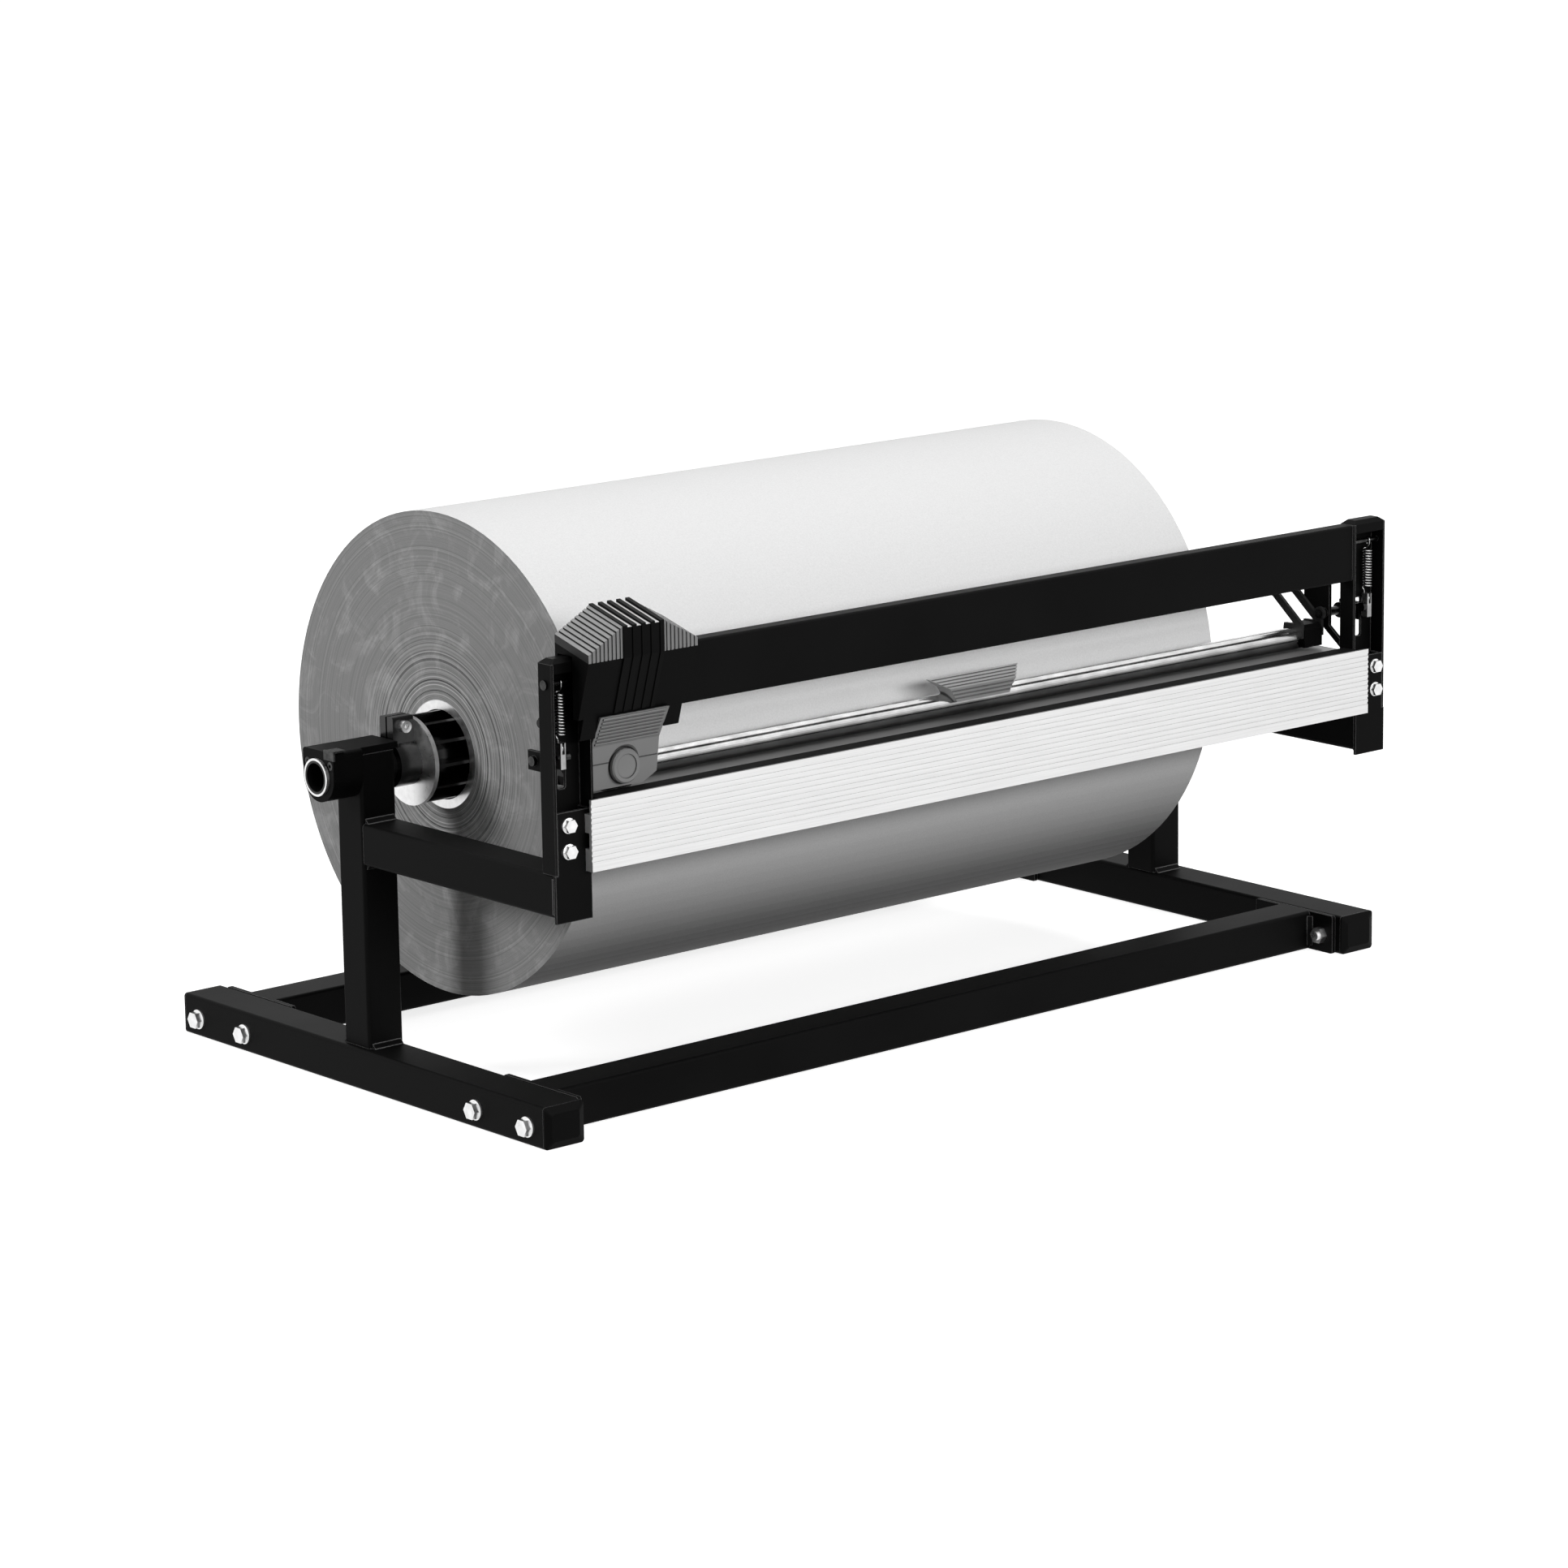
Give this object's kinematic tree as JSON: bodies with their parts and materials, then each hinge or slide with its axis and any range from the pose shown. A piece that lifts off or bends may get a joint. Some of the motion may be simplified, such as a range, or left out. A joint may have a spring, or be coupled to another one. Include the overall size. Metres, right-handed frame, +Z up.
{
  "type": "wrapping paper roll dispenser and cutter",
  "caption": "Counter-top dispenser for a wide roll of wrapping paper, with a sliding cutter head over a ribbed aluminium cutting edge and a sprung press bar",
  "frame": {"origin": "on the counter, under the middle of the machine's overall box", "axes": "+X along the roll to the right of a person in front of it, -Y towards that person, +Z up"},
  "size_m": [1.0062, 0.545, 0.4715],
  "materials": {
    "frame_paint": "satin black powder coat",
    "black_plastic": "fine-grained black",
    "blackened_steel": "black oxide, lightly oiled",
    "zinc_steel": "bright zinc plate",
    "aluminium": "natural extruded",
    "black_rubber": "smooth",
    "chrome": "polished",
    "lever_steel": "satin black",
    "spindle_black": "satin black",
    "grey_plastic": "satin mid grey",
    "white_nylon": "smooth",
    "blade_steel": "ground edge",
    "core_card": "plain bright tube",
    "wrapping_paper": "smooth white sheet, tightly wound"
  },
  "bodies": {
    "frame": {"side_rail_left": "frame_paint", "side_rail_right": "frame_paint", "rail_end_caps": "black_plastic", "cross_rail_front": "frame_paint", "cross_rail_back": "frame_paint", "rail_bolts": "zinc_steel", "nuts": "zinc_steel", "upright_left": "frame_paint", "upright_right": "frame_paint", "arm_left": "frame_paint", "arm_right": "frame_paint", "post_left": "frame_paint", "post_right": "frame_paint", "post_caps": "black_plastic", "crossbar": "frame_paint", "front_plate_left": "frame_paint", "front_plate_right": "frame_paint", "plate_bolts": "zinc_steel", "frame_welds": "frame_paint", "cutting_profile": "aluminium", "cutting_strip": "black_rubber", "profile_screws": "zinc_steel", "cheek_plate_left": "frame_paint", "cheek_plate_right": "frame_paint", "pivot_ears": "frame_paint", "spring_pins": "blackened_steel", "press_springs": "zinc_steel", "spindle_housing_left": "black_plastic", "spindle_housing_right": "black_plastic", "housing_screws": "blackened_steel", "spindle_keepers": "blackened_steel"},
    "roll": {"spindle": "spindle_black", "spindle_rings": "zinc_steel", "core_plug_left": "black_plastic", "core_plug_right": "black_plastic", "plug_flanges": "zinc_steel", "clamp_collars": "black_plastic", "clamp_screws": "zinc_steel", "roll_core": "core_card", "paper_roll": "wrapping_paper"},
    "press_bar": {"press_rod": "chrome", "end_blocks": "black_plastic", "press_levers": "lever_steel", "guide_rod": "lever_steel", "pivot_cranks": "blackened_steel", "lift_tab": "grey_plastic"},
    "spring_ends": {"spring_clevises": "zinc_steel"},
    "cutter_head": {"head_body": "black_plastic", "head_spine": "black_plastic", "head_roof_left": "grey_plastic", "head_roof_right": "grey_plastic", "head_cover": "grey_plastic", "head_carrier": "zinc_steel", "head_glides": "white_nylon", "head_screws": "zinc_steel", "blade_axle": "zinc_steel"},
    "cutting_wheel": {"blade": "blade_steel"},
    "push_cap": {"button": "grey_plastic"}
  },
  "joints": [
    {"name": "roll_spin", "type": "hinge", "parent": "frame", "child": "roll", "pos_m": [0, 0.0255, 0.2676], "axis": [1, 0, 0], "continuous": true},
    {"name": "press_bar_lift", "type": "hinge", "parent": "frame", "child": "press_bar", "pos_m": [0, -0.2135, 0.31215], "axis": [1, 0, 0], "range_deg": [0, 35], "stiffness_Nm_per_rad": 0.6, "springref_deg": -85.94, "deforming": ["press_springs"]},
    {"name": "spring_end_swing", "type": "hinge", "parent": "press_bar", "child": "spring_ends", "pos_m": [0, -0.241, 0.31815], "axis": [1, 0, 0], "range_deg": [-35, 0]},
    {"name": "cutter_slide", "type": "slide", "parent": "frame", "child": "cutter_head", "axis": [1, 0, 0], "range_m": [0, 0.791]},
    {"name": "cutting_wheel_spin", "type": "hinge", "parent": "cutter_head", "child": "cutting_wheel", "pos_m": [-0.3955, -0.233, 0.303], "axis": [0, 1, 0], "continuous": true},
    {"name": "push_cap_press", "type": "slide", "parent": "cutter_head", "child": "push_cap", "axis": [0, 1, 0], "range_m": [0, 0.0025], "stiffness_N_per_m": 800, "springref_m": -0.002}
  ],
  "couplings": [
    {"joint": "spring_end_swing", "follows": "press_bar_lift", "ratio": -1}
  ]
}
